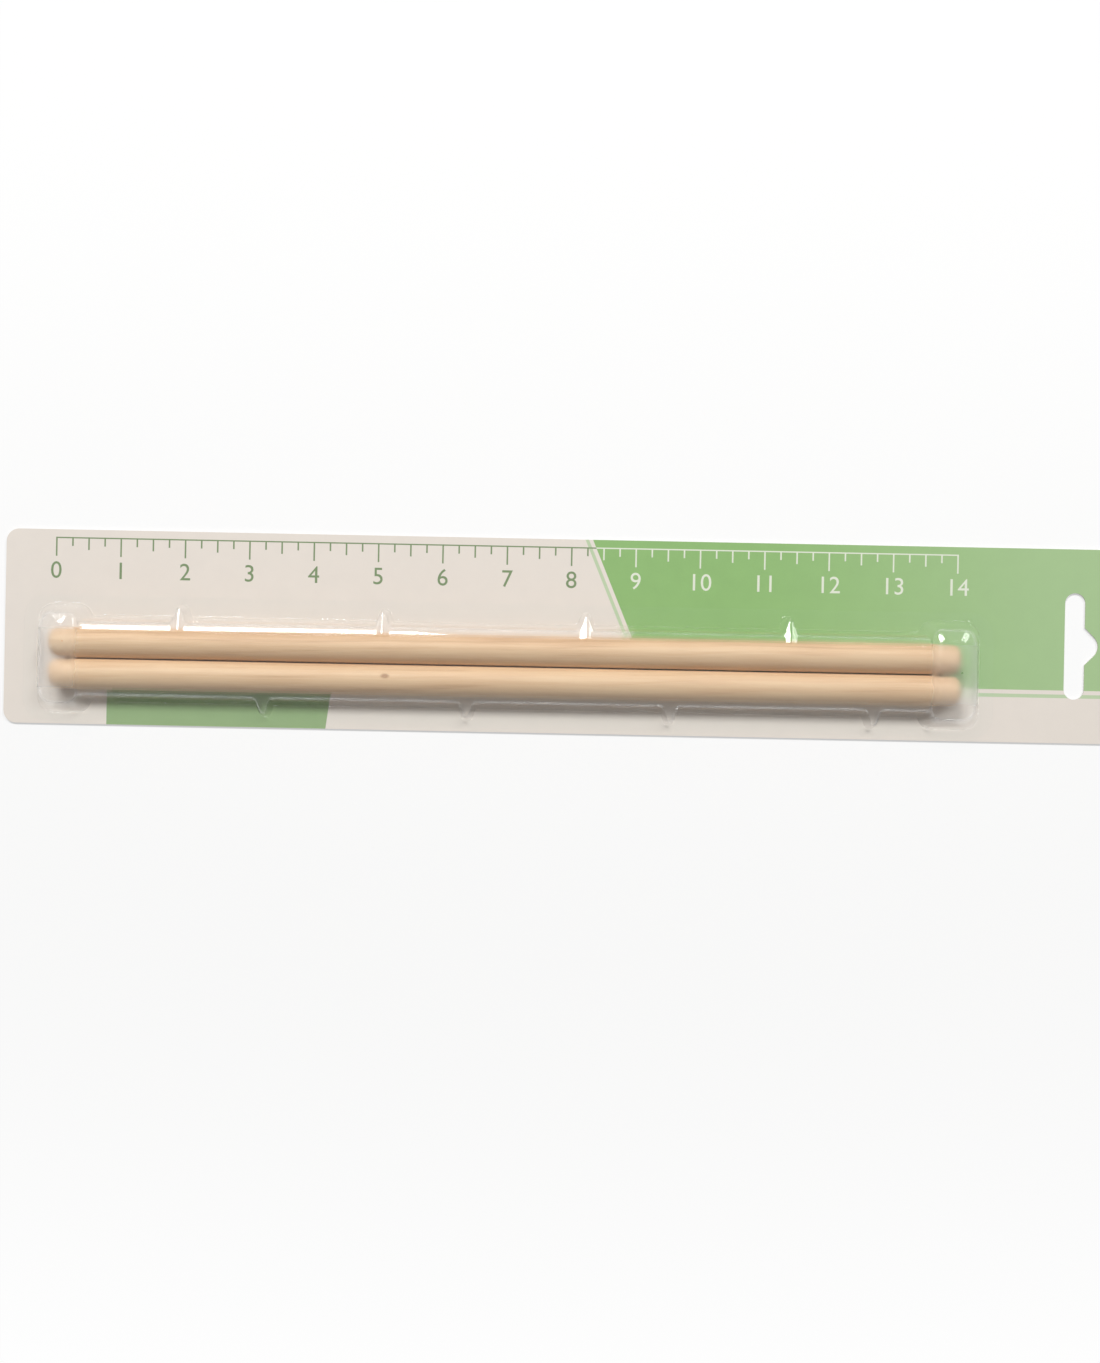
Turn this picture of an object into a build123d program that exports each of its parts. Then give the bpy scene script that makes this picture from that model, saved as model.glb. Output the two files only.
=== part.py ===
from build123d import *
from math import hypot, radians, sqrt, tan
import os

os.makedirs("parts", exist_ok=True)

# A carded pair of wooden cage perches under a clear formed blister.
# Millimetres. The card lies on its back: X runs along it towards the hang slot, Y across it, Z off its face.

# Perches
perch_length = 355.6  # fourteen inches
perch_diameter = 12.0
perch_end_round = 3.5
bar_slot_width = 5.0  # takes one cage bar
bar_slot_depth = 10.0
perch_gap = 0.3  # between the two perches
perch_lift = 0.3  # under each perch, above the card
perch_shift = -1.3  # the pair rests this far off the middle of the tunnel

# Blister
sheet = 0.4
roof_gap = 0.5  # tunnel roof above the perches
shoulder_gap = 2.05  # tunnel roof beside the pair, on each side
tunnel_spread = 2.4  # how far each tunnel wall leans out from roof to foot
tunnel_roof_round = 4.0
pocket_rise = 2.7  # pocket roof above the tunnel roof
pocket_roof_length = 17.7
pocket_end_gap = 3.85  # pocket roof past the perch ends
pocket_side_step = 3.25  # pocket roof wider than the tunnel roof, on each side
pocket_end_spread = 3.75  # lean of a pocket's end wall
pocket_inner_spread = 2.95  # lean of a pocket's wall on the tunnel side
pocket_side_spread = 3.75  # lean of a pocket's two long walls
pocket_roof_corner = 6.0
pocket_foot_corner = 7.0
pocket_roof_round = 5.0
lug_count = 4  # on each tunnel wall
lug_pitch = 79.3
lug_stagger = 33.0  # lugs of one wall against those of the other
lug_shift = 7.2  # middle of all the lugs off the middle of the tunnel
lug_width = 5.8
lug_reach = 6.7  # lug's foot past the edge of the tunnel roof
lug_corner = 2.0
lug_drop = 2.6  # lug's ridge below the tunnel roof, under the edge of that roof
lug_fall = 18.0  # degrees, slope of the ridge
lug_gable = 12.0  # degrees, slope to each side of the ridge
lug_draft = 5.0  # degrees, lean of a lug's walls
flange_end_width = 5.8
flange_side_width = 3.1
flange_corner = 9.0

# Card
board = 0.6
card_corner = 5.0
left_margin = 7.7  # card end to flange
lower_margin = 1.2  # card's lower edge to flange
print_margin = 26.0  # flange to the card's upper edge
header_length = 48.5  # flange to the card's right-hand end
hang_slot_length = 42.0
hang_slot_width = 8.0
hang_hump_radius = 5.2
hang_slot_edge = 7.4  # top of the hump to the card's right-hand end

# Heights
perch_axis_height = board + perch_lift + perch_diameter / 2
tunnel_roof = perch_axis_height + perch_diameter / 2 + roof_gap + sheet
pocket_roof = tunnel_roof + pocket_rise

# Blister plan sizes, from its own middle
perch_pitch = perch_diameter + perch_gap
roof_half_breadth = perch_pitch / 2 + perch_diameter / 2 + shoulder_gap + sheet
pocket_roof_end = perch_length / 2 + pocket_end_gap
pocket_half_breadth = roof_half_breadth + pocket_side_step
flange_length = 2 * (pocket_roof_end + pocket_end_spread + flange_end_width)
flange_breadth = 2 * (pocket_half_breadth + pocket_side_spread + flange_side_width)

# Card outline, and where the blister and perches stand on it
card_length = left_margin + flange_length + header_length
card_breadth = lower_margin + flange_breadth + print_margin
blister_x = -card_length / 2 + left_margin + flange_length / 2
blister_y = -card_breadth / 2 + lower_margin + flange_breadth / 2
perch_x = blister_x + perch_shift


def wall_offset(spread, rise, inset):
    # A wall that leans out by spread over rise, moved in by inset square to itself.
    slope = spread / rise
    at_foot = inset * hypot(spread, rise) / rise
    at_roof = at_foot - inset * slope
    return at_foot, at_roof


def tunnel_form(inset):
    # Straight run over both perches, with leaning walls and a rounded roof.
    rise = tunnel_roof - board
    at_foot, at_roof = wall_offset(tunnel_spread, rise, inset)
    foot = roof_half_breadth + tunnel_spread - at_foot
    top = roof_half_breadth - at_roof
    height = tunnel_roof - inset
    reach = pocket_roof_end - pocket_roof_length / 2
    section = Polyline((-foot, board), (-top, height), (top, height), (foot, board), close=True)
    form = extrude(Plane.YZ * make_face(section), amount=reach, both=True)
    ridges = form.edges().filter_by(Axis.X).group_by(Axis.Z)[-1]
    return fillet(ridges, tunnel_roof_round - inset)


def pocket_form(inset):
    # Right-hand end pocket, wider and higher than the tunnel it closes.
    rise = pocket_roof - board
    end_foot, end_top = wall_offset(pocket_end_spread, rise, inset)
    inner_foot, inner_top = wall_offset(pocket_inner_spread, rise, inset)
    side_foot, side_top = wall_offset(pocket_side_spread, rise, inset)
    roof_start = pocket_roof_end - pocket_roof_length + inner_top
    roof_length = pocket_roof_end - end_top - roof_start
    roof_breadth = 2 * (pocket_half_breadth - side_top)
    foot_start = pocket_roof_end - pocket_roof_length - pocket_inner_spread + inner_foot
    foot_length = pocket_roof_end + pocket_end_spread - end_foot - foot_start
    foot_breadth = 2 * (pocket_half_breadth + pocket_side_spread - side_foot)
    foot = RectangleRounded(foot_length, foot_breadth, pocket_foot_corner - inset)
    roof = RectangleRounded(roof_length, roof_breadth, pocket_roof_corner - inset)
    foot = Pos(foot_start + foot_length / 2, 0, board) * foot
    roof = Pos(roof_start + roof_length / 2, 0, pocket_roof - inset) * roof
    form = loft([foot, roof], ruled=True)
    return fillet(form.faces().sort_by(Axis.Z)[-1].edges(), pocket_roof_round - inset)


def lug_form(inset):
    # Stiffening lug on the +Y wall of the tunnel, with a sloping gabled top and rounded outer corners.
    inner = roof_half_breadth - tunnel_roof_round / 2
    outer = roof_half_breadth + lug_reach - inset
    foot = Pos(0, (inner + outer) / 2) * Rectangle(lug_width - 2 * inset, outer - inner)
    foot = fillet(foot.vertices().group_by(Axis.Y)[-1], lug_corner - inset)
    lug = extrude(Pos(0, 0, board) * foot, amount=tunnel_roof - board, taper=lug_draft)
    ridge = (0, roof_half_breadth, tunnel_roof - lug_drop)
    for side in (-1, 1):
        slope = Plane(ridge, z_dir=(side * tan(radians(lug_gable)), tan(radians(lug_fall)), 1))
        lug = split(lug, slope.offset(-inset), keep=Keep.BOTTOM)
    return lug


def blister_form(inset):
    # The blister's outside for no inset, its inside for an inset of one sheet.
    form = tunnel_form(inset)
    pocket = pocket_form(inset)
    form += pocket
    form += mirror(pocket, about=Plane.YZ)
    lug = lug_form(inset)
    for index in range(lug_count):
        along = lug_shift + (index - (lug_count - 1) / 2) * lug_pitch
        form += Pos(along - lug_stagger / 2, 0, 0) * lug
        form += Pos(along + lug_stagger / 2, 0, 0) * mirror(lug, about=Plane.XZ)
    return form


def build_blister():
    flange = extrude(RectangleRounded(flange_length, flange_breadth, flange_corner), amount=sheet)
    shell = Pos(0, 0, board) * flange + blister_form(0)
    return Pos(blister_x, blister_y, 0) * (shell - blister_form(sheet))


def build_perch(side):
    # Dowel with rounded-over ends and a bar slot across each end, level with the card.
    dowel = Rot(0, 90, 0) * Cylinder(perch_diameter / 2, perch_length)
    dowel = fillet(dowel.edges().filter_by(GeomType.CIRCLE), perch_end_round)
    slot_run = bar_slot_depth - bar_slot_width / 2
    for end in (-1, 1):
        floor = Pos(end * (perch_length / 2 - slot_run), 0, 0)
        dowel -= floor * Rot(90, 0, 0) * Cylinder(bar_slot_width / 2, perch_diameter)
        mouth = Pos(end * slot_run / 2, 0, 0) * Box(slot_run, perch_diameter, bar_slot_width)
        dowel -= floor * mouth
    return Pos(perch_x, blister_y + side * perch_pitch / 2, perch_axis_height) * dowel


def build_card():
    # Board with a hang slot: a rounded slot across the card and a hump with sloping shoulders.
    outline = RectangleRounded(card_length, card_breadth, card_corner)
    hump_x = card_length / 2 - hang_slot_edge - hang_hump_radius
    slot = SlotOverall(hang_slot_length, hang_slot_width, rotation=90)
    outline -= Pos(hump_x - hang_slot_width / 2, 0) * slot
    outline -= Pos(hump_x, 0) * Circle(hang_hump_radius)
    tangent = hang_hump_radius / sqrt(2)
    base = 2 * tangent
    shoulders = Polyline((0, base), (tangent, tangent), (tangent, -tangent), (0, -base), close=True)
    outline -= Pos(hump_x, 0) * make_face(shoulders)
    return extrude(outline, amount=board)


export_step(build_card(), "parts/backing_card.step")
export_step(build_blister(), "parts/blister.step")
export_step(build_perch(1), "parts/perch_upper.step")
export_step(build_perch(-1), "parts/perch_lower.step")
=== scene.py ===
import math
import bpy
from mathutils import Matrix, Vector


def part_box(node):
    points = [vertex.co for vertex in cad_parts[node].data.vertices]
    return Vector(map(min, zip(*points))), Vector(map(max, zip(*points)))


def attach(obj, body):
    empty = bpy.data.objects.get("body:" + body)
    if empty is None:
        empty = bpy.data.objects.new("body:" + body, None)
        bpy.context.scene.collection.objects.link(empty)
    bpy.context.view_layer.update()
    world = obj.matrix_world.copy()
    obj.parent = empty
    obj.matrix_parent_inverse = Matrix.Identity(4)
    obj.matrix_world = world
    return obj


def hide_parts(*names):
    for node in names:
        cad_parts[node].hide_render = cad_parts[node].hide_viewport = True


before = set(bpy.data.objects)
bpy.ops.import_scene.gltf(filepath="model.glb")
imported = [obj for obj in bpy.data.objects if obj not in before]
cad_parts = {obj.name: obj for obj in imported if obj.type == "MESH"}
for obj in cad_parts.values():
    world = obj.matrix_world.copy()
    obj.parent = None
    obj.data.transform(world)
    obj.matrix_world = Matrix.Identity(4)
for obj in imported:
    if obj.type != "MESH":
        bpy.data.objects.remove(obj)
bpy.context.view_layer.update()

# Two wooden cage perches in a clear blister on a printed card.
# The card lies on its back: x runs towards the hang slot, y to the wide print margin, z off the card.

mm = 0.001
hair = 0.01 * mm  # less than any size on the pack
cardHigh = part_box("backing_card")[1]
shellLow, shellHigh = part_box("blister")
upperLow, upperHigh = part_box("perch_upper")
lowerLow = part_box("perch_lower")[0]
cardFace = cardHigh.z
shellMiddle = (shellLow + shellHigh) / 2
shellSize = shellHigh - shellLow
perchLength = upperHigh.x - upperLow.x
perchHalf = perchLength / mm / 2
pairHalf = (upperHigh.y - lowerLow.y) / mm / 2


# small helpers

def clearSelection():
    if bpy.context.object and bpy.context.object.mode != "OBJECT":
        bpy.ops.object.mode_set(mode="OBJECT")
    bpy.ops.object.select_all(action="DESELECT")


def takeUp(piece):  # the one selected and active object
    clearSelection()
    piece.select_set(True)
    bpy.context.view_layer.objects.active = piece


def nameNew(name):
    piece = bpy.context.object
    piece.name = name
    piece.data.name = name
    return piece


def settle(piece):  # the place goes into the mesh
    takeUp(piece)
    bpy.ops.object.transform_apply(location=True, rotation=True, scale=True)


def joinPieces(pieces, name):
    takeUp(pieces[0])
    for piece in pieces:
        piece.select_set(True)
    bpy.ops.object.join()
    return nameNew(name)


def applyModifiers(piece):
    takeUp(piece)
    for modifier in list(piece.modifiers):
        bpy.ops.object.modifier_apply(modifier=modifier.name)


def drop(piece):
    mesh = piece.data
    bpy.data.objects.remove(piece)
    bpy.data.meshes.remove(mesh)


def startPick(kind):  # nothing picked yet
    bpy.ops.object.mode_set(mode="EDIT")
    bpy.ops.mesh.select_mode(type=kind)
    bpy.ops.mesh.select_all(action="DESELECT")
    bpy.ops.object.mode_set(mode="OBJECT")


def pickVerts(piece, test):  # by place, and stays in edit mode
    startPick("VERT")
    for vert in piece.data.vertices:
        vert.select = test(vert.co)
    bpy.ops.object.mode_set(mode="EDIT")


def pickEdges(piece, test):
    startPick("EDGE")
    verts = piece.data.vertices
    for edge in piece.data.edges:
        edge.select = test(verts[edge.vertices[0]].co, verts[edge.vertices[1]].co)
    bpy.ops.object.mode_set(mode="EDIT")


def bevelPicked(offset, segments):
    bpy.ops.mesh.bevel(offset=offset * mm, segments=segments)
    bpy.ops.object.mode_set(mode="OBJECT")


def evenSteps(start, end, step):
    count = max(1, math.ceil(abs(end - start) / step))
    return [start + (end - start) * i / count for i in range(count + 1)]


# clear blister: a flat sheet drawn down over a forming plug

blisterLook = {
    "sheet": 0.36,  # plastic, drawn thinner than it was flat
    "roofAbove": 0.9,  # tunnel roof's outside above the perches
    "roofInside": 2.55,  # flat of that roof ends this far inside the pair's long edges
    "shoulderBeside": 2.73,  # its sloping shoulder ends this far outside them
    "shoulderDrop": 1.7,
    "footBeside": 4.8,
    "pocketRoof": (-11.5, 0.6, 0.75),  # inner end, outer end and sides, past the perches' ends and edges
    "pocketShoulder": (-14.2, 4.3, 6.15),
    "pocketFoot": (-16.8, 7.6, 9.45),
    "pocketDrop": 2.4,
    "pocketCorner": 5.0,
    "leftShorter": 2.8,  # inner wall of the left pocket stands this much farther out
    "lugCount": 4,  # on each long wall
    "lugPitch": 79.3,
    "lugStagger": 33.0,  # lugs of one wall against those of the other
    "lugShift": 7.2,
    "lugInside": 1.2,  # a lug's ridge leaves the tunnel roof this far inside the pair's long edges
    "lugReach": 9.4,  # and its foot ends this far outside them
    "lugRoot": 9.9,  # width under the tunnel roof
    "lugTip": 3.0,
    "lugRidge": 0.5,
    "lugDraft": 0.4,  # walls lean in by this much on each side
    "lugFall": 3.13,  # outer end of the ridge below the tunnel roof
    "lugCrown": 0.88,  # ridge above the eaves
    "lugLean": 0.9,
    "lugCorner": 1.2,
    "lugSegments": 6,
    "roundWide": 2.0,  # bevels of the plug
    "roundTight": 1.7,
    "roundSegments": 8,
    "cornerSegments": 10,
    "flange": 0.4,
    "flangeCorner": 9.0,
    "bedOver": 1.2,  # plug's bed against the sheet
    "sheetAbove": 10.0,  # flat sheet over the plug, before the draw
    "fineStep": 0.36,  # mesh size where the sheet bends
    "coarseStep": 9.0,  # along the tunnel
    "flatStep": 2.0,
    "rimStep": 1.0,
    "fineMargin": 1.4,
    "lugZone": 8.4,  # finely meshed width round a lug
    "softening": 3,  # rounds of smoothing
    "smoothAngle": 60,
}


def lugPlaces(look):  # (x, side) from the blister's middle
    places = []
    for index in range(look["lugCount"]):
        along = look["lugShift"] + (index - (look["lugCount"] - 1) / 2) * look["lugPitch"]
        places.append((along - look["lugStagger"] / 2, 1))
        places.append((along + look["lugStagger"] / 2, -1))
    return places


def addStack(name, levels):
    # levels are (lowX, highX, lowY, highY, height) in mm from the foot up, from the blister's middle
    clearSelection()
    bpy.ops.mesh.primitive_plane_add(size=1)
    stack = nameNew(name)
    lowX, highX, lowY, highY, height = levels[0]
    stack.scale = ((highX - lowX) * mm, (highY - lowY) * mm, 1)
    stack.location = shellMiddle + Vector(((lowX + highX) / 2, (lowY + highY) / 2, 0)) * mm
    stack.location.z = cardFace + height * mm
    settle(stack)
    bpy.ops.object.mode_set(mode="EDIT")
    bpy.ops.mesh.select_all(action="SELECT")
    for old, new in zip(levels, levels[1:]):
        rise = (0, 0, (new[4] - old[4]) * mm)
        bpy.ops.mesh.extrude_region_move(TRANSFORM_OT_translate={"value": rise})
        middle = shellMiddle + Vector(((old[0] + old[1]) / 2, (old[2] + old[3]) / 2, 0)) * mm
        shrink = ((new[1] - new[0]) / (old[1] - old[0]), (new[3] - new[2]) / (old[3] - old[2]), 1)
        bpy.ops.transform.resize(value=shrink, center_override=middle)
        shift = (new[0] + new[1] - old[0] - old[1]) / 2, (new[2] + new[3] - old[2] - old[3]) / 2
        bpy.ops.transform.translate(value=(shift[0] * mm, shift[1] * mm, 0))
    bpy.ops.object.mode_set(mode="OBJECT")
    return stack


def bevelLevel(stack, height, offset, look):  # rounds all the edges at one height
    level = cardFace + height * mm
    pickEdges(stack, lambda a, b: max(abs(a.z - level), abs(b.z - level)) < hair)
    bevelPicked(offset, look["roundSegments"])


def makeTunnelPlug(look, roof):
    reach = perchHalf + look["pocketRoof"][0] / 2
    foot = pairHalf + look["footBeside"]
    shoulder = pairHalf + look["shoulderBeside"]
    flat = pairHalf - look["roofInside"]
    bend = roof - look["shoulderDrop"]
    tunnel = addStack("tunnelPlug", [
        (-reach, reach, -foot, foot, 0),
        (-reach, reach, -shoulder, shoulder, bend),
        (-reach, reach, -flat, flat, roof),
    ])
    bevelLevel(tunnel, bend, look["roundTight"], look)
    bevelLevel(tunnel, roof, look["roundWide"], look)
    return tunnel


def makePocketPlug(look, roof):
    bend = roof - look["pocketDrop"]
    levels = []
    for key, height in (("pocketFoot", 0), ("pocketShoulder", bend), ("pocketRoof", roof)):
        inner, outer, side = look[key]
        levels.append((perchHalf + inner, perchHalf + outer, -pairHalf - side, pairHalf + side, height))
    pocket = addStack("pocketPlug", levels)
    pickEdges(pocket, lambda a, b: abs(a.z - b.z) > mm)  # the corners
    bevelPicked(look["pocketCorner"], look["cornerSegments"])
    bevelLevel(pocket, bend, look["roundTight"], look)
    bevelLevel(pocket, roof, look["roundTight"], look)
    return pocket


def makeLeftPocketPlug(look):  # mirrors the right-hand one, which is selected
    bpy.ops.object.duplicate()
    pocket = nameNew("pocketPlugLeft")
    pocket.location.x = 2 * shellMiddle.x
    pocket.scale.x = -1
    settle(pocket)
    innerFrom = shellMiddle.x - (perchHalf + look["pocketRoof"][0] / 2) * mm
    pickVerts(pocket, lambda co: co.x > innerFrom)
    bpy.ops.transform.translate(value=(-look["leftShorter"] * mm, 0, 0))
    bpy.ops.object.mode_set(mode="OBJECT")
    return pocket


def makeLugPlug(look, roof, along, side):
    inner = pairHalf - look["lugInside"]
    outer = pairHalf + look["lugReach"]
    half = look["lugRoot"] / 2
    eaves = half - look["lugDraft"]
    ridge = look["lugRidge"] / 2
    lowY, highY = sorted((side * inner, side * outer))
    lug = addStack("lugPlug", [
        (along - half, along + half, lowY, highY, 0),
        (along - eaves, along + eaves, lowY, highY, roof - look["lugCrown"]),
        (along - ridge, along + ridge, lowY, highY, roof),
    ])
    middleY = shellMiddle.y + side * (inner + outer) / 2 * mm
    lugX = shellMiddle.x + along * mm
    taper = look["lugTip"] / look["lugRoot"]
    eavesZ = cardFace + (roof - look["lugCrown"] - look["lugFall"]) * mm
    crownLoss = look["lugCrown"] * (1 - taper)  # so that both slopes stay flat

    def outerEnd(co):
        return (co.y - middleY) * side > 0

    pickVerts(lug, lambda co: outerEnd(co) and co.z > cardFace + mm)  # the top slopes down
    bpy.ops.transform.translate(value=(0, -side * look["lugLean"] * mm, -look["lugFall"] * mm))
    pickVerts(lug, lambda co: outerEnd(co) and abs(co.z - eavesZ) < hair)
    bpy.ops.transform.translate(value=(0, 0, crownLoss * mm))
    pickVerts(lug, outerEnd)
    bpy.ops.transform.resize(value=(taper, 1, 1), center_override=(lugX, 0, 0))
    pickEdges(lug, lambda a, b: abs(a.z - b.z) > roof / 2 * mm and outerEnd(a))  # corners of the end wall
    bevelPicked(look["lugCorner"], look["lugSegments"])
    return lug


def makePlug(look):
    tunnelRoof = (upperHigh.z - cardFace) / mm + look["roofAbove"]
    pocketRoof = (shellHigh.z - cardFace) / mm
    blocks = [makeTunnelPlug(look, tunnelRoof), makePocketPlug(look, pocketRoof)]
    blocks.append(makeLeftPocketPlug(look))
    for along, side in lugPlaces(look):
        blocks.append(makeLugPlug(look, tunnelRoof, along, side))
    clearSelection()
    place = (shellMiddle.x, shellMiddle.y, cardFace + look["flange"] * mm)
    bpy.ops.mesh.primitive_plane_add(size=1, location=place)
    bed = nameNew("plugBed")
    bed.scale = (shellSize.x * look["bedOver"], shellSize.y * look["bedOver"], 1)
    settle(bed)
    return joinPieces([bed] + blocks, "formingPlug")


def sheetLines(look):  # where the sheet is cut into a mesh, fine at the bends
    halfLength = shellSize.x / mm / 2
    halfBreadth = shellSize.y / mm / 2
    margin = look["fineMargin"]
    pocketFrom = perchHalf + look["pocketFoot"][0] - margin
    pocketTo = perchHalf + look["pocketFoot"][1] + margin
    zones = [(-pocketTo, -pocketFrom), (pocketFrom, pocketTo)]
    for along, _ in lugPlaces(look):
        zones.append((along - look["lugZone"] / 2, along + look["lugZone"] / 2))
    zones.sort()
    linesX = evenSteps(-halfLength, -pocketTo, look["flatStep"])[1:-1]
    for index, (start, end) in enumerate(zones):
        linesX += evenSteps(start, end, look["fineStep"])
        if index + 1 < len(zones):
            linesX += evenSteps(end, zones[index + 1][0], look["coarseStep"])[1:-1]
    linesX += evenSteps(pocketTo, halfLength, look["flatStep"])[1:-1]
    bendFrom = pairHalf - look["roofInside"] - 2 * margin  # the roof's middle is flat
    bendTo = pairHalf + look["pocketFoot"][2] + margin / 2
    side = evenSteps(bendFrom, bendTo, look["fineStep"])
    side += evenSteps(bendTo, halfBreadth, look["rimStep"])[1:-1]
    across = evenSteps(-bendFrom, bendFrom, look["flatStep"])[1:-1]
    linesY = [-line for line in reversed(side)] + across + side
    return linesX, linesY


def makeBlister(look):
    plug = makePlug(look)
    clearSelection()
    place = (shellMiddle.x, shellMiddle.y, shellHigh.z + look["sheetAbove"] * mm)
    bpy.ops.mesh.primitive_plane_add(size=1, location=place)
    sheet = nameNew("blisterShell")
    sheet.scale = (shellSize.x, shellSize.y, 1)
    settle(sheet)
    bpy.ops.object.mode_set(mode="EDIT")
    bpy.ops.mesh.select_mode(type="VERT")
    bpy.ops.mesh.select_all(action="SELECT")
    corner = look["flangeCorner"] * mm
    bpy.ops.mesh.bevel(offset=corner, segments=look["cornerSegments"], affect="VERTICES")
    linesX, linesY = sheetLines(look)
    for axis, lines in ((0, linesX), (1, linesY)):
        normal = (1, 0, 0) if axis == 0 else (0, 1, 0)
        for line in lines:
            point = list(shellMiddle)
            point[axis] += line * mm
            bpy.ops.mesh.select_all(action="SELECT")
            bpy.ops.mesh.bisect(plane_co=point, plane_no=normal)
    bpy.ops.object.mode_set(mode="OBJECT")

    draw = sheet.modifiers.new("draw", "SHRINKWRAP")  # pulled straight down on the plug
    draw.target = plug
    draw.wrap_method = "PROJECT"
    draw.use_project_z = True
    draw.use_negative_direction = True
    draw.use_positive_direction = False
    soften = sheet.modifiers.new("soften", "SMOOTH")
    soften.factor = 1.0
    soften.iterations = look["softening"]
    soften.use_x = False
    soften.use_y = False
    wall = sheet.modifiers.new("wall", "SOLIDIFY")
    wall.thickness = look["sheet"] * mm
    wall.offset = -1
    applyModifiers(sheet)
    drop(plug)
    takeUp(sheet)
    bpy.ops.object.shade_smooth_by_angle(angle=math.radians(look["smoothAngle"]))
    return sheet


# wooden perches: turned dowels with rounded ends and a slot for a cage bar

perchLook = {
    "sides": 96,
    "endRound": 3.5,
    "endSegments": 10,
    "slotWidth": 5.0,
    "slotDepth": 10.0,
    "slotSides": 32,
    "slotPast": 2.0,  # cutter past the perch's end
    "smoothAngle": 35,
}


def makeSlotCutter(look, end, middle, radius):
    floorRadius = look["slotWidth"] / 2 * mm
    run = look["slotDepth"] * mm - floorRadius
    floorX = middle.x + end * (perchLength / 2 - run)
    clearSelection()
    bpy.ops.mesh.primitive_cylinder_add(
        vertices=look["slotSides"], radius=floorRadius, depth=4 * radius,  # right through the perch
        location=(floorX, middle.y, middle.z), rotation=(math.pi / 2, 0, 0),
    )
    cutter = nameNew("slotCutter")
    settle(cutter)
    pickVerts(cutter, lambda co: (co.x - floorX) * end > -hair)  # outer half is drawn out past the end
    mouth = (end * (run + look["slotPast"] * mm), 0, 0)
    bpy.ops.mesh.extrude_region_move(TRANSFORM_OT_translate={"value": mouth})
    bpy.ops.object.mode_set(mode="OBJECT")
    return cutter


def makePerch(name, node, look):
    low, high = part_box(node)
    middle = (low + high) / 2
    radius = max(high.y - low.y, high.z - low.z) / 2
    clearSelection()
    bpy.ops.mesh.primitive_cylinder_add(
        vertices=look["sides"], radius=radius, depth=perchLength, rotation=(0, math.pi / 2, 0)
    )
    perch = nameNew(name)
    settle(perch)
    rim = perchLength / 2 - hair
    pickEdges(perch, lambda a, b: min(abs(a.x), abs(b.x)) > rim and a.x * b.x > 0)
    bevelPicked(look["endRound"], look["endSegments"])
    perch.location = middle
    settle(perch)
    cutters = [makeSlotCutter(look, end, middle, radius) for end in (-1, 1)]
    for cutter in cutters:
        cut = perch.modifiers.new("slot", "BOOLEAN")
        cut.operation = "DIFFERENCE"
        cut.solver = "EXACT"
        cut.object = cutter
    applyModifiers(perch)
    for cutter in cutters:
        drop(cutter)
    takeUp(perch)
    bpy.ops.object.shade_smooth_by_angle(angle=math.radians(look["smoothAngle"]))
    return perch


# plain inch scale on the card's print margin

scaleLook = {
    "inches": 14,
    "inch": 25.4,
    "fromEdge": 3.0,  # rule below the card's upper edge
    "rule": 0.5,
    "stroke": 0.6,
    "inchTick": 7.0,
    "halfTick": 4.5,
    "quarterTick": 3.0,
    "numberSize": 9.5,
    "numberGap": 1.6,
    "curveSteps": 4,  # in the numbers' outlines
    "ink": 0.02,  # thickness of the print
    "inkMiddle": 0.55,  # its middle above the card, in thicknesses
}
inkZ = cardFace + scaleLook["inkMiddle"] * scaleLook["ink"] * mm


def addInkBar(x, top, width, height, look):
    clearSelection()
    bpy.ops.mesh.primitive_cube_add(size=1, location=(x, top - height / 2, inkZ))
    bar = nameNew("inkBar")
    bar.scale = (width, height, look["ink"] * mm)
    settle(bar)
    return bar


def addNumber(number, x, top, look):
    clearSelection()
    bpy.ops.object.text_add()
    words = bpy.context.object
    words.data.body = str(number)
    words.data.size = look["numberSize"] * mm
    words.data.extrude = look["ink"] / 2 * mm
    words.data.align_x = "CENTER"
    words.data.align_y = "TOP"
    words.data.resolution_u = look["curveSteps"]
    bpy.ops.object.convert(target="MESH")
    figure = nameNew("inkNumber")
    figure.location = (x, top, inkZ)
    settle(figure)
    return figure


def makeScale(look):
    start = upperLow.x
    top = cardHigh.y - look["fromEdge"] * mm
    length = look["inches"] * look["inch"] * mm
    bars = [addInkBar(start + length / 2, top, length + look["stroke"] * mm, look["rule"] * mm, look)]
    numberTop = top - (look["inchTick"] + look["numberGap"]) * mm
    for quarter in range(4 * look["inches"] + 1):
        x = start + quarter * look["inch"] / 4 * mm
        tick = look["quarterTick"]
        if quarter % 2 == 0:
            tick = look["halfTick"]
        if quarter % 4 == 0:
            tick = look["inchTick"]
            bars.append(addNumber(quarter // 4, x, numberTop, look))
        bars.append(addInkBar(x, top - look["rule"] * mm, look["stroke"] * mm, tick * mm, look))
    return joinPieces(bars, "inchScale")


# node helpers

def addNode(tree, kind, **settings):
    node = tree.nodes.new("ShaderNode" + kind)
    for key, value in settings.items():
        setattr(node, key, value)
    return node


def feed(tree, socket, value):  # a link or a plain value
    if isinstance(value, bpy.types.NodeSocket):
        tree.links.new(value, socket)
    else:
        socket.default_value = value


def maths(tree, operation, *values, clamp=False):
    node = addNode(tree, "Math", operation=operation, use_clamp=clamp)
    for socket, value in zip(node.inputs, values):
        feed(tree, socket, value)
    return node.outputs[0]


def softStep(tree, value, start, end):
    node = addNode(tree, "MapRange", interpolation_type="SMOOTHSTEP")
    feed(tree, node.inputs["Value"], value)
    node.inputs["From Min"].default_value = start
    node.inputs["From Max"].default_value = end
    return node.outputs["Result"]


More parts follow.
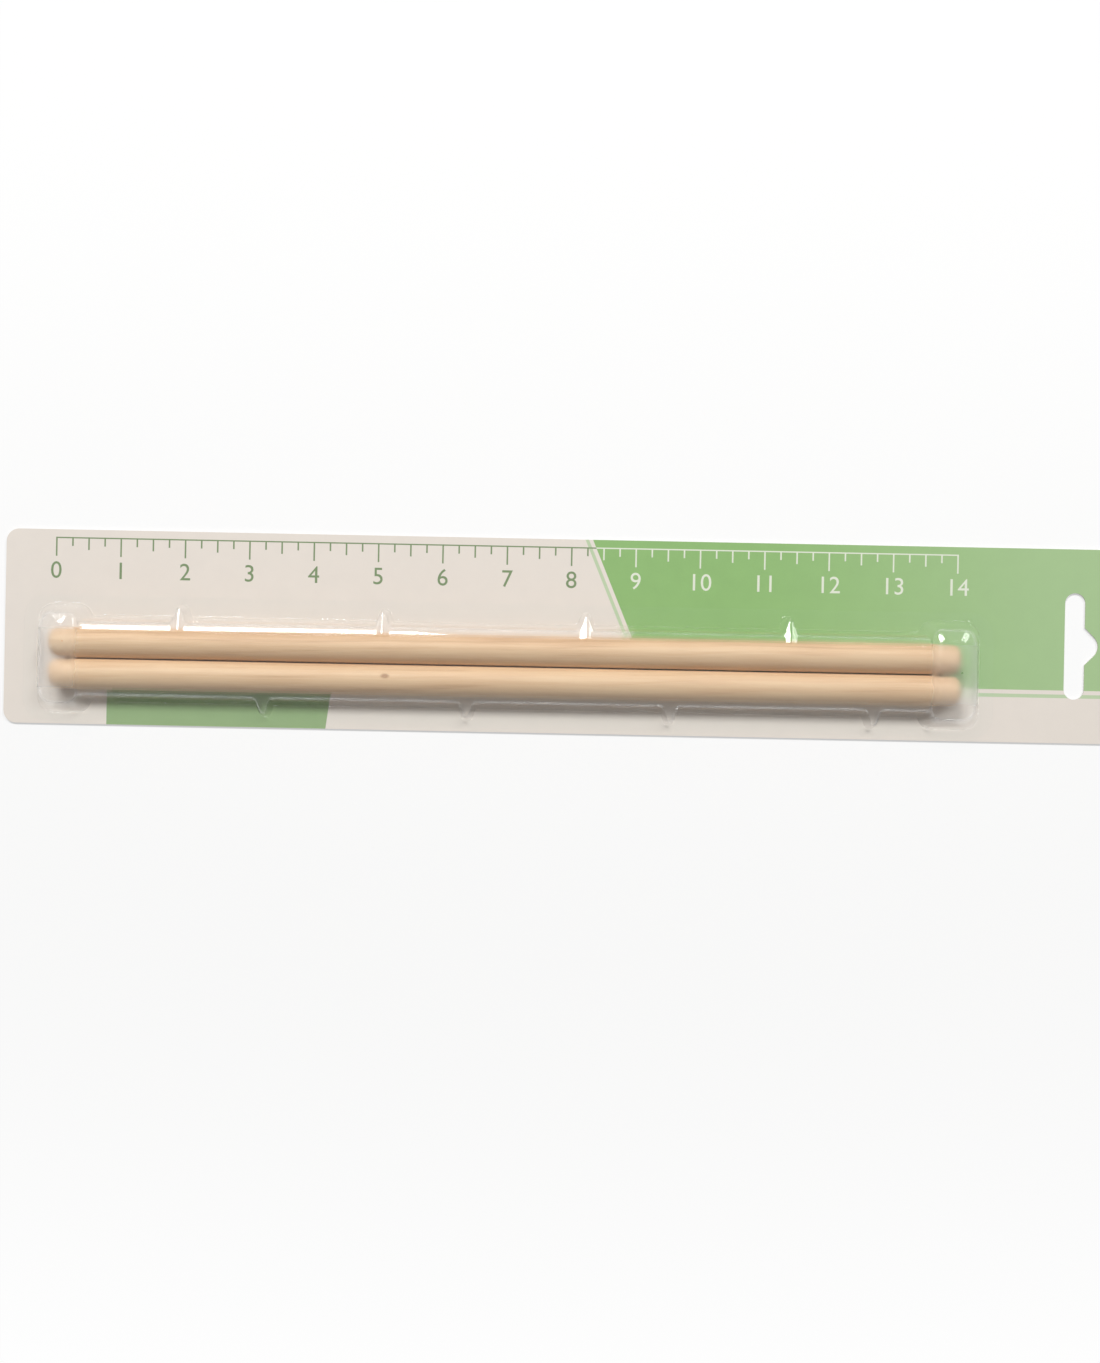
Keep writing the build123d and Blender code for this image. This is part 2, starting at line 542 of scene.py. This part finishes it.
def remap(tree, value, low, high, newLow, newHigh):
    node = addNode(tree, "MapRange")
    feed(tree, node.inputs["Value"], value)
    node.inputs["From Min"].default_value = low
    node.inputs["From Max"].default_value = high
    node.inputs["To Min"].default_value = newLow
    node.inputs["To Max"].default_value = newHigh
    return node.outputs["Result"]


def between(tree, share, low, high):  # share runs from 0 to 1
    return remap(tree, share, 0.0, 1.0, low, high)


def stretched(tree, place, scale, shift=(0, 0, 0)):
    node = addNode(tree, "Mapping")
    feed(tree, node.inputs["Vector"], place)
    node.inputs["Scale"].default_value = scale
    node.inputs["Location"].default_value = shift
    return node.outputs["Vector"]


def noise(tree, place, scale, detail=2.0, rough=0.5):
    node = addNode(tree, "TexNoise")
    feed(tree, node.inputs["Vector"], place)
    node.inputs["Scale"].default_value = scale
    node.inputs["Detail"].default_value = detail
    node.inputs["Roughness"].default_value = rough
    return node.outputs["Fac"]


def streaks(tree, place, stretch, detail=2.0, rough=0.5):  # noise drawn out along one axis
    return noise(tree, stretched(tree, place, stretch), 1.0, detail, rough)


def addAround(tree, value, weight, base, clamp=False):  # noise adds nothing at its middle, 0.5
    return maths(tree, "MULTIPLY_ADD", maths(tree, "SUBTRACT", value, 0.5), weight, base, clamp=clamp)


def mixColours(tree, factor, first, second):
    node = addNode(tree, "Mix", data_type="RGBA")
    feed(tree, node.inputs[0], factor)
    feed(tree, node.inputs[6], first)
    feed(tree, node.inputs[7], second)
    return node.outputs[2]


def shade(colour, factor):
    return [part * factor for part in colour[:3]] + [1]


def splitPlace(tree, place):
    node = addNode(tree, "SeparateXYZ")
    feed(tree, node.inputs[0], place)
    return node.outputs


def farFrom(tree, place):  # distance from the origin
    node = addNode(tree, "VectorMath", operation="LENGTH")
    tree.links.new(place, node.inputs[0])
    return node.outputs["Value"]


def bump(tree, height, distance, strength=1.0):
    node = addNode(tree, "Bump")
    node.inputs["Strength"].default_value = strength
    node.inputs["Distance"].default_value = distance
    feed(tree, node.inputs["Height"], height)
    return node.outputs["Normal"]


def placeInMm(tree, origin=(0, 0, 0)):  # object coordinates in millimetres, from a point given in mm
    coords = addNode(tree, "TexCoord")
    place = stretched(tree, coords.outputs["Object"], (1 / mm, 1 / mm, 1 / mm))
    return stretched(tree, place, (1, 1, 1), tuple(-part for part in origin))


def facing(tree):  # x, y and z of the surface's normal
    return splitPlace(tree, addNode(tree, "TexCoord").outputs["Normal"])


def seenRays(tree):  # 1 where the camera, a mirror or clear plastic looks at the surface
    path = addNode(tree, "LightPath")
    seen = maths(tree, "MAXIMUM", path.outputs["Is Camera Ray"], path.outputs["Is Glossy Ray"])
    return maths(tree, "MAXIMUM", seen, path.outputs["Is Transmission Ray"])


def mixShaders(tree, factor, first, second):
    node = addNode(tree, "MixShader")
    tree.links.new(factor, node.inputs[0])
    tree.links.new(first, node.inputs[1])
    tree.links.new(second, node.inputs[2])
    return node.outputs[0]


def newMaterial(name):
    material = bpy.data.materials.new(name)
    material.use_nodes = True
    tree = material.node_tree
    return material, tree, tree.nodes["Principled BSDF"]


def newGroup(name, inputs, outputs):
    tree = bpy.data.node_groups.new(name, "ShaderNodeTree")
    for label, kind in inputs:
        tree.interface.new_socket(label, in_out="INPUT", socket_type="NodeSocket" + kind)
    for label in outputs:
        tree.interface.new_socket(label, in_out="OUTPUT", socket_type="NodeSocketFloat")
    given = tree.nodes.new("NodeGroupInput").outputs
    result = tree.nodes.new("NodeGroupOutput").inputs
    return tree, given, result


def addGroup(tree, group, **values):
    node = addNode(tree, "Group", node_tree=group)
    for label, value in values.items():
        feed(tree, node.inputs[label], value)
    return node.outputs


def dress(piece, material):
    piece.data.materials.clear()
    piece.data.materials.append(material)


# printed card: the layout is shared by the card and the ink of the scale

printLook = {
    "fieldTopX": 12.0,  # slanting left edge of the green field, at the card's upper edge
    "fieldSlant": 0.42,  # the edge moves right by this much for each mm down
    "fieldLowY": -17.5,
    "stripe": (-3.0, -1.6),  # pinstripe outside the field
    "blockLeftX": -178.6,  # block at the lower left
    "blockRightX": -82.2,  # its right end, carried up to the card's edge
    "blockSlant": 0.13,
    "blockHighY": -20.0,
    "paintedPalingX": (60.0, 215.0),  # painted light: the field is painted paler and greyer between these
    "fade": 0.45,
    "edgeSoft": 0.06,
    "paper": (0.80, 0.735, 0.665, 1),
    "green": (0.272, 0.48, 0.168, 1),
    "paleGreen": (0.50, 0.62, 0.40, 1),
    "blockGreen": (0.30, 0.43, 0.21, 1),
    "darkInk": (0.165, 0.235, 0.115, 1),
    "paleInk": (0.78, 0.82, 0.68, 1),
    "paperTone": 0.97,  # darkest patches of each colour
    "greenTone": 0.93,
    "darkInkTone": 1.25,
    "paleInkTone": 0.94,
    "toneFrom": (0.3, 0.7),
}
boardLook = {
    "edgeDark": (0.50, 0.47, 0.42, 1),
    "edgeLight": (0.68, 0.64, 0.58, 1),
    "backDark": (0.60, 0.57, 0.52, 1),
    "backLight": (0.70, 0.67, 0.62, 1),
    "faceTilt": (0.4, 0.6),  # a face is front or back past this much of its normal
    "bareRough": 0.85,
    "coatRough": 0.36,
    "coatMottle": 0.12,
    "broad": 0.12,  # mottle for each mm
    "fine": 2.6,
    "broadShare": 0.6,
    "fibre": (0.6, 3.4, 3.4),
    "fibreDepth": 0.02,
    "fibreBump": 0.35,
}


def makePrintGroup(look):
    masks = ["Field", "Block", "Stripe", "Fade"]
    tree, given, result = newGroup("printLayout", [("Place", "Vector")], masks)
    soft = look["edgeSoft"]
    x, y, _ = splitPlace(tree, given["Place"])
    below = maths(tree, "SUBTRACT", cardHigh.y / mm, y)
    edgeX = maths(tree, "MULTIPLY_ADD", below, look["fieldSlant"], look["fieldTopX"])
    fromEdge = maths(tree, "SUBTRACT", x, edgeX)
    fromLow = maths(tree, "SUBTRACT", y, look["fieldLowY"])
    inField = maths(tree, "MINIMUM", fromEdge, fromLow)
    tree.links.new(softStep(tree, inField, -soft, soft), result["Field"])
    rightEnd = maths(tree, "MULTIPLY_ADD", below, -look["blockSlant"], look["blockRightX"])
    fromLeft = maths(tree, "SUBTRACT", x, look["blockLeftX"])
    fromRight = maths(tree, "SUBTRACT", rightEnd, x)
    fromTop = maths(tree, "SUBTRACT", look["blockHighY"], y)
    inBlock = maths(tree, "MINIMUM", maths(tree, "MINIMUM", fromLeft, fromRight), fromTop)
    tree.links.new(softStep(tree, inBlock, -soft, soft), result["Block"])
    stripeLow, stripeHigh = look["stripe"]
    pastLow = softStep(tree, inField, stripeLow - soft, stripeLow + soft)
    beforeHigh = softStep(tree, inField, stripeHigh + soft, stripeHigh - soft)
    tree.links.new(maths(tree, "MULTIPLY", pastLow, beforeHigh), result["Stripe"])
    # painted light: mask for the field's painted paling to the right
    tree.links.new(softStep(tree, x, *look["paintedPalingX"]), result["Fade"])
    return tree


def makeMottleGroup(board):  # uneven ink and board fibres
    tree, given, result = newGroup("inkMottle", [("Place", "Vector")], ["Mottle", "Fibre"])
    broad = noise(tree, given["Place"], board["broad"], 3.0, 0.6)
    fine = noise(tree, given["Place"], board["fine"], 2.0, 0.6)
    rest = maths(tree, "MULTIPLY", fine, 1 - board["broadShare"])
    tree.links.new(maths(tree, "MULTIPLY_ADD", broad, board["broadShare"], rest), result["Mottle"])
    tree.links.new(streaks(tree, given["Place"], board["fibre"], 3.0, 0.65), result["Fibre"])
    return tree


def coatRoughness(tree, mottle, board):
    return maths(tree, "MULTIPLY_ADD", mottle, board["coatMottle"], board["coatRough"])


def makeCardMaterial(look, board, layout, mottleGroup):
    material, tree, shader = newMaterial("coatedCard")
    place = placeInMm(tree)
    upward = facing(tree)[2]
    tiltLow, tiltHigh = board["faceTilt"]
    front = softStep(tree, upward, tiltLow, tiltHigh)
    back = softStep(tree, upward, -tiltLow, -tiltHigh)
    masks = addGroup(tree, layout, Place=place)
    grain = addGroup(tree, mottleGroup, Place=place)
    tone = remap(tree, grain["Mottle"], *look["toneFrom"], 0.0, 1.0)
    paper = mixColours(tree, tone, shade(look["paper"], look["paperTone"]), look["paper"])
    green = mixColours(tree, tone, shade(look["green"], look["greenTone"]), look["green"])
    # painted light: the green is painted paler towards the right end
    fade = maths(tree, "MULTIPLY", masks["Fade"], look["fade"])
    green = mixColours(tree, fade, green, look["paleGreen"])
    block = mixColours(tree, tone, shade(look["blockGreen"], look["greenTone"]), look["blockGreen"])
    printed = mixColours(tree, masks["Field"], paper, green)
    printed = mixColours(tree, masks["Block"], printed, block)
    printed = mixColours(tree, masks["Stripe"], printed, look["paleGreen"])
    edge = mixColours(tree, grain["Fibre"], board["edgeDark"], board["edgeLight"])
    bare = mixColours(tree, grain["Fibre"], board["backDark"], board["backLight"])
    colour = mixColours(tree, front, mixColours(tree, back, edge, bare), printed)
    tree.links.new(colour, shader.inputs["Base Color"])
    rough = addNode(tree, "Mix")
    feed(tree, rough.inputs[0], front)
    rough.inputs[2].default_value = board["bareRough"]
    feed(tree, rough.inputs[3], coatRoughness(tree, grain["Mottle"], board))
    tree.links.new(rough.outputs[0], shader.inputs["Roughness"])
    fibres = bump(tree, grain["Fibre"], board["fibreDepth"] * mm, board["fibreBump"])
    tree.links.new(fibres, shader.inputs["Normal"])
    return material


def makeInkMaterial(look, board, layout, mottleGroup):
    material, tree, shader = newMaterial("scaleInk")
    place = placeInMm(tree)
    masks = addGroup(tree, layout, Place=place)
    mottle = addGroup(tree, mottleGroup, Place=place)["Mottle"]
    dark = mixColours(tree, mottle, look["darkInk"], shade(look["darkInk"], look["darkInkTone"]))
    pale = mixColours(tree, mottle, look["paleInk"], shade(look["paleInk"], look["paleInkTone"]))
    tree.links.new(mixColours(tree, masks["Field"], dark, pale), shader.inputs["Base Color"])
    tree.links.new(coatRoughness(tree, mottle, board), shader.inputs["Roughness"])
    return material


# bare sanded wood

woodLook = {
    "light": (0.757, 0.543, 0.336, 1),
    "middle": (0.69, 0.46, 0.27, 1),
    "dark": (0.53, 0.322, 0.178, 1),
    "pore": (0.36, 0.21, 0.11, 1),
    "knot": (0.30, 0.14, 0.06, 1),
    "toneStops": (0.12, 0.45, 0.85),  # where dark, middle and light stand
    "ringPitch": 2.6,
    "ringMiddle": (21.0, -17.0),  # heart of the tree from the dowel's axis
    "runOut": 0.016,  # how fast the rings leave the dowel along its length
    "ringDrift": 5.0,
    "lateFrom": (0.45, 0.9),  # late wood within a ring
    "lateTo": (1.0, 0.93),
    "driftGrain": (0.012, 0.05, 0.05),  # noise for each mm along and across the dowel
    "fibreGrain": (0.035, 1.7, 1.7),
    "fineGrain": (0.16, 6.0, 6.0),
    "patchGrain": (0.018, 0.12, 0.12),
    "poreGrain": (0.11, 4.2, 4.2),
    "baseTone": 0.6,
    "lateTone": -0.16,
    "fibreTone": 0.7,
    "patchTone": 0.8,
    "fineTone": 0.25,
    "poresFrom": (0.66, 0.76),
    "poreShow": 0.22,
    "poreDepth": -0.6,
    "darkSideFrom": (0.5, 5.0),  # made darker along the +y side, from these y; set for each perch
    "knotStretch": (0.55, 1.0, 0.3),
    "knotFrom": (1.0, 0.35),
    "knotShow": 0.75,
    "endFrom": (0.55, 0.95),  # end grain, by the normal
    "endShow": 0.4,
    "roughFrom": (0.3, 0.7),  # range of the fine grain that the next line spreads over
    "rough": (0.5, 0.66),
    "grainDepth": 0.05,
    "grainBump": 0.4,
}
perchWood = {
    "perch_upper": {"name": "upperWood", "shift": 40.0, "darkSide": 0.3, "knots": []},
    "perch_lower": {"name": "lowerWood", "shift": 615.0, "darkSide": 0.0, "knots": [(-46.3, 1.5, 1.3)]},
}


def makeGrainGroup(look):
    inputs = [("Place", "Vector"), ("Shift", "Float")]
    tree, given, result = newGroup("dowelGrain", inputs, ["Tone", "Pores", "Fibre"])
    x, y, z = splitPlace(tree, given["Place"])
    along = maths(tree, "ADD", x, given["Shift"])
    moved = addNode(tree, "CombineXYZ")
    for socket, value in zip(moved.inputs, (along, y, z)):
        tree.links.new(value, socket)
    moved = moved.outputs[0]
    ringY = maths(tree, "SUBTRACT", y, look["ringMiddle"][0])
    ringZ = maths(tree, "SUBTRACT", z, look["ringMiddle"][1])
    squares = maths(tree, "ADD", maths(tree, "POWER", ringY, 2), maths(tree, "POWER", ringZ, 2))
    reach = maths(tree, "MULTIPLY_ADD", along, look["runOut"], maths(tree, "SQRT", squares))
    drift = streaks(tree, moved, look["driftGrain"])
    reach = maths(tree, "MULTIPLY_ADD", drift, look["ringDrift"], reach)
    phase = maths(tree, "FRACT", maths(tree, "DIVIDE", reach, look["ringPitch"]))
    late = softStep(tree, phase, *look["lateFrom"])
    late = maths(tree, "MULTIPLY", late, softStep(tree, phase, *look["lateTo"]))
    fibre = streaks(tree, moved, look["fibreGrain"], 4.0, 0.6)
    fine = streaks(tree, moved, look["fineGrain"], 2.0, 0.6)
    patch = streaks(tree, moved, look["patchGrain"])
    pores = streaks(tree, moved, look["poreGrain"], 1.0)
    tone = maths(tree, "MULTIPLY_ADD", late, look["lateTone"], look["baseTone"])
    tone = addAround(tree, fibre, look["fibreTone"], tone)
    tone = addAround(tree, patch, look["patchTone"], tone)
    tone = addAround(tree, fine, look["fineTone"], tone, clamp=True)
    tree.links.new(tone, result["Tone"])
    tree.links.new(softStep(tree, pores, *look["poresFrom"]), result["Pores"])
    tree.links.new(fine, result["Fibre"])
    return tree


def addKnot(tree, place, colour, knot, topZ, look):  # on the dowel's upper side, from its middle
    knotX, knotY, size = knot
    stretch = Vector(look["knotStretch"]) / size
    near = stretched(tree, place, stretch, -stretch * Vector((knotX, knotY, topZ)))
    spot = softStep(tree, farFrom(tree, near), *look["knotFrom"])
    return mixColours(tree, maths(tree, "MULTIPLY", spot, look["knotShow"]), colour, look["knot"])


def makeWoodMaterial(node, wood, look, grainGroup):
    material, tree, shader = newMaterial(wood["name"])
    low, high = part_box(node)
    place = placeInMm(tree, (low + high) / 2 / mm)
    grain = addGroup(tree, grainGroup, Place=place, Shift=wood["shift"])
    ramp = addNode(tree, "ValToRGB")
    darkStop, middleStop, lightStop = look["toneStops"]
    ramp.color_ramp.elements[0].position = darkStop
    ramp.color_ramp.elements[0].color = look["dark"]
    ramp.color_ramp.elements[1].position = lightStop
    ramp.color_ramp.elements[1].color = look["light"]
    ramp.color_ramp.elements.new(middleStop).color = look["middle"]
    # the upper perch is made darker along its +y side
    darkSideShare = softStep(tree, splitPlace(tree, place)[1], *look["darkSideFrom"])
    tone = maths(tree, "MULTIPLY_ADD", darkSideShare, -wood["darkSide"], grain["Tone"])
    tree.links.new(tone, ramp.inputs["Fac"])
    pores = maths(tree, "MULTIPLY", grain["Pores"], look["poreShow"])
    colour = mixColours(tree, pores, ramp.outputs["Color"], look["pore"])
    for knot in wood["knots"]:
        colour = addKnot(tree, place, colour, knot, (high.z - low.z) / 2 / mm, look)
    endGrain = softStep(tree, maths(tree, "ABSOLUTE", facing(tree)[0]), *look["endFrom"])
    colour = mixColours(tree, maths(tree, "MULTIPLY", endGrain, look["endShow"]), colour, look["dark"])
    tree.links.new(colour, shader.inputs["Base Color"])
    rough = remap(tree, grain["Fibre"], *look["roughFrom"], *look["rough"])
    tree.links.new(rough, shader.inputs["Roughness"])
    height = maths(tree, "MULTIPLY_ADD", grain["Pores"], look["poreDepth"], grain["Fibre"])
    relief = bump(tree, height, look["grainDepth"] * mm, look["grainBump"])
    tree.links.new(relief, shader.inputs["Normal"])
    return material


# clear plastic

plasticLook = {
    "tint": (0.985, 0.99, 0.988, 1),
    "lampTint": (0.985, 0.99, 0.99, 1),  # what lamps lose at each face
    "index": 1.53,
    "rough": 0.015,
    "smear": (0.05, 0.3, 0.3),  # noise for each mm
    "smearFrom": (0.45, 0.8),
    "smearRough": 0.05,
    "haze": 0.34,  # roofs of the end pockets, dulled by the draw
    "cloud": 0.22,
    "pocketBlend": (-1.5, 2.0),  # the pockets' finish comes in between these, past their inner shoulder
    "overPair": (0.6, -1.4),  # and is full over the perches, from these past the pair's edges
    "besidePair": 0.1,
    "film": 0.44,  # how much of the sheet's shine shows in the tunnel
    "pocketFilm": 0.85,
    "flangeFilm": 0.15,  # sealed to the card, so hardly seen
    "flangeBlend": (0.05, 0.3),  # heights above the flange
    "wallFilm": 0.5,  # steep walls are drawn clearer, by this factor
    "wallTilt": (0.35, 0.8),  # by the normal
    "wave": 0.03,
    "waveStretch": (0.045, 0.09, 0.09),
}


def pocketMask(tree, x, y, look):
    start, full = look["pocketBlend"]
    rightFrom = perchHalf + blisterLook["pocketShoulder"][0]
    leftFrom = -rightFrom - blisterLook["leftShorter"]
    right = softStep(tree, x, rightFrom + start, rightFrom + full)
    left = softStep(tree, x, leftFrom - start, leftFrom - full)
    outside, inside = look["overPair"]
    overPair = softStep(tree, maths(tree, "ABSOLUTE", y), pairHalf + outside, pairHalf + inside)
    overPair = between(tree, overPair, look["besidePair"], 1.0)
    return maths(tree, "MULTIPLY", maths(tree, "MAXIMUM", right, left), overPair)


def makePlasticMaterial(look):
    material, tree, shader = newMaterial("clearSheet")
    place = placeInMm(tree, shellMiddle / mm)
    x, y, z = splitPlace(tree, place)
    pocket = pocketMask(tree, x, y, look)
    flangeZ = (cardFace - shellMiddle.z) / mm + blisterLook["flange"]
    blendLow, blendHigh = look["flangeBlend"]
    raised = softStep(tree, z, flangeZ + blendLow, flangeZ + blendHigh)

    smear = softStep(tree, streaks(tree, place, look["smear"], 3.0, 0.55), *look["smearFrom"])
    rough = maths(tree, "MULTIPLY_ADD", smear, look["smearRough"], look["rough"])
    cloud = noise(tree, place, look["cloud"])
    haze = maths(tree, "MULTIPLY_ADD", cloud, look["haze"], look["haze"] / 2)
    haze = maths(tree, "MULTIPLY", pocket, haze)
    tree.links.new(maths(tree, "MULTIPLY_ADD", haze, raised, rough), shader.inputs["Roughness"])

    flange = look["flangeFilm"]
    film = between(tree, pocket, look["film"] - flange, look["pocketFilm"] - flange)
    film = maths(tree, "MULTIPLY_ADD", film, raised, flange)
    level = softStep(tree, maths(tree, "ABSOLUTE", facing(tree)[2]), *look["wallTilt"])
    film = maths(tree, "MULTIPLY", film, between(tree, level, look["wallFilm"], 1.0))
    tree.links.new(film, shader.inputs["Alpha"])
    wave = streaks(tree, place, look["waveStretch"], 2.0, 0.45)
    tree.links.new(bump(tree, wave, look["wave"] * mm), shader.inputs["Normal"])
    shader.inputs["Base Color"].default_value = look["tint"]
    shader.inputs["Transmission Weight"].default_value = 1.0
    shader.inputs["IOR"].default_value = look["index"]

    clear = addNode(tree, "BsdfTransparent")  # for light on its way to the card and the perches
    clear.inputs["Color"].default_value = look["lampTint"]
    path = addNode(tree, "LightPath").outputs
    byBounce = mixShaders(tree, path["Is Diffuse Ray"], shader.outputs[0], clear.outputs[0])
    byLamp = mixShaders(tree, path["Is Shadow Ray"], byBounce, clear.outputs[0])
    tree.links.new(byLamp, tree.nodes["Material Output"].inputs["Surface"])
    return material


# floor and light

stageLook = {
    "floorSize": 12.0,
    "floorDrop": 0.3,  # mm under the card
    "floorColour": (0.985, 0.985, 0.98, 1),
    "floorRough": 0.9,
    "floorWhite": 0.45,  # share of plain white that the camera sees in the floor, near the card
    "floorFade": (0.08, 0.35),  # the floor turns all white between these distances
    "floorStretch": (0.33, 1, 1),  # the card is long
    "worldLight": 0.22,  # on the object; the background itself is seen white
    "keyPlace": (-0.78, 2.18, 2.74),
    "keySize": (0.92, 0.7),
    "keyPower": 92.5,
    "fillPlace": (1.3, 1.4, 1.75),
    "fillSize": (0.7, 0.7),
    "fillPower": 18.0,
}


def makeFloor(look):
    clearSelection()
    bpy.ops.mesh.primitive_plane_add(size=look["floorSize"], location=(0, 0, -look["floorDrop"] * mm))
    floor = nameNew("studioFloor")
    material, tree, shader = newMaterial("paleFloor")
    shader.inputs["Base Color"].default_value = look["floorColour"]
    shader.inputs["Roughness"].default_value = look["floorRough"]
    shader.inputs["Specular IOR Level"].default_value = 0.0
    glow = addNode(tree, "Emission")
    place = stretched(tree, addNode(tree, "TexCoord").outputs["Object"], look["floorStretch"])
    fade = softStep(tree, farFrom(tree, place), *look["floorFade"])
    white = maths(tree, "MULTIPLY", seenRays(tree), between(tree, fade, look["floorWhite"], 1.0))
    mixed = mixShaders(tree, white, shader.outputs[0], glow.outputs[0])
    tree.links.new(mixed, tree.nodes["Material Output"].inputs["Surface"])
    dress(floor, material)


def makeWorld(look):
    world = bpy.data.worlds.new("studioWorld")
    bpy.context.scene.world = world
    world.use_nodes = True
    tree = world.node_tree
    background = tree.nodes["Background"]
    background.inputs["Color"].default_value = (1, 1, 1, 1)
    strength = between(tree, seenRays(tree), look["worldLight"], 1.0)
    tree.links.new(strength, background.inputs["Strength"])


def makeLamps(look):
    for name in ("key", "fill"):
        clearSelection()
        bpy.ops.object.light_add(type="AREA", location=look[name + "Place"])
        lamp = bpy.context.object
        lamp.name = name + "Softbox"
        lamp.data.shape = "RECTANGLE"
        lamp.data.size, lamp.data.size_y = look[name + "Size"]
        lamp.data.energy = look[name + "Power"]
        lamp.rotation_euler = Vector(look[name + "Place"]).to_track_quat("Z", "Y").to_euler()


# camera, straight above the card

cameraLook = {
    "over": (-3.9, -17.93),  # point of the card under the lens
    "height": 685.96,
    "turn": 1.142,  # degrees
    "focalPixels": 1737.2,  # for an image 1363 pixels high
    "imageHeight": 1363,
    "sensor": 36.0,
    "clipStart": 0.01,
}


def makeCamera(look):
    clearSelection()
    place = (look["over"][0] * mm, look["over"][1] * mm, look["height"] * mm)
    bpy.ops.object.camera_add(location=place, rotation=(0, 0, math.radians(look["turn"])))
    camera = bpy.context.object
    camera.name = "photoCamera"
    camera.data.sensor_fit = "VERTICAL"
    camera.data.sensor_height = look["sensor"]
    camera.data.lens = look["focalPixels"] * look["sensor"] / look["imageHeight"]
    camera.data.clip_start = look["clipStart"]
    bpy.context.scene.camera = camera


# pieces

blister = makeBlister(blisterLook)
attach(blister, "blister")
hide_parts("blister")
print("blister drawn:", len(blister.data.polygons), "faces")

perchUpper = makePerch("upperPerch", "perch_upper", perchLook)
perchLower = makePerch("lowerPerch", "perch_lower", perchLook)
perches = ((perchUpper, "perch_upper"), (perchLower, "perch_lower"))
for perch, node in perches:
    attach(perch, node)
    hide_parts(node)
print("perches turned:", len(perchUpper.data.polygons), "faces each")

inchScale = makeScale(scaleLook)
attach(inchScale, "card")
print("scale printed:", len(inchScale.data.polygons), "faces")

# finishes

printLayout = makePrintGroup(printLook)
inkMottle = makeMottleGroup(boardLook)
dowelGrain = makeGrainGroup(woodLook)
cardMaterial = makeCardMaterial(printLook, boardLook, printLayout, inkMottle)
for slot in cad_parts["backing_card"].material_slots:
    slot.material = cardMaterial
dress(inchScale, makeInkMaterial(printLook, boardLook, printLayout, inkMottle))
for perch, node in perches:
    dress(perch, makeWoodMaterial(node, perchWood[node], woodLook, dowelGrain))
dress(blister, makePlasticMaterial(plasticLook))
print("finishes laid on")

# stage

makeFloor(stageLook)
makeWorld(stageLook)
makeLamps(stageLook)
makeCamera(cameraLook)
bpy.context.scene.view_settings.view_transform = "Standard"
print("stage set")
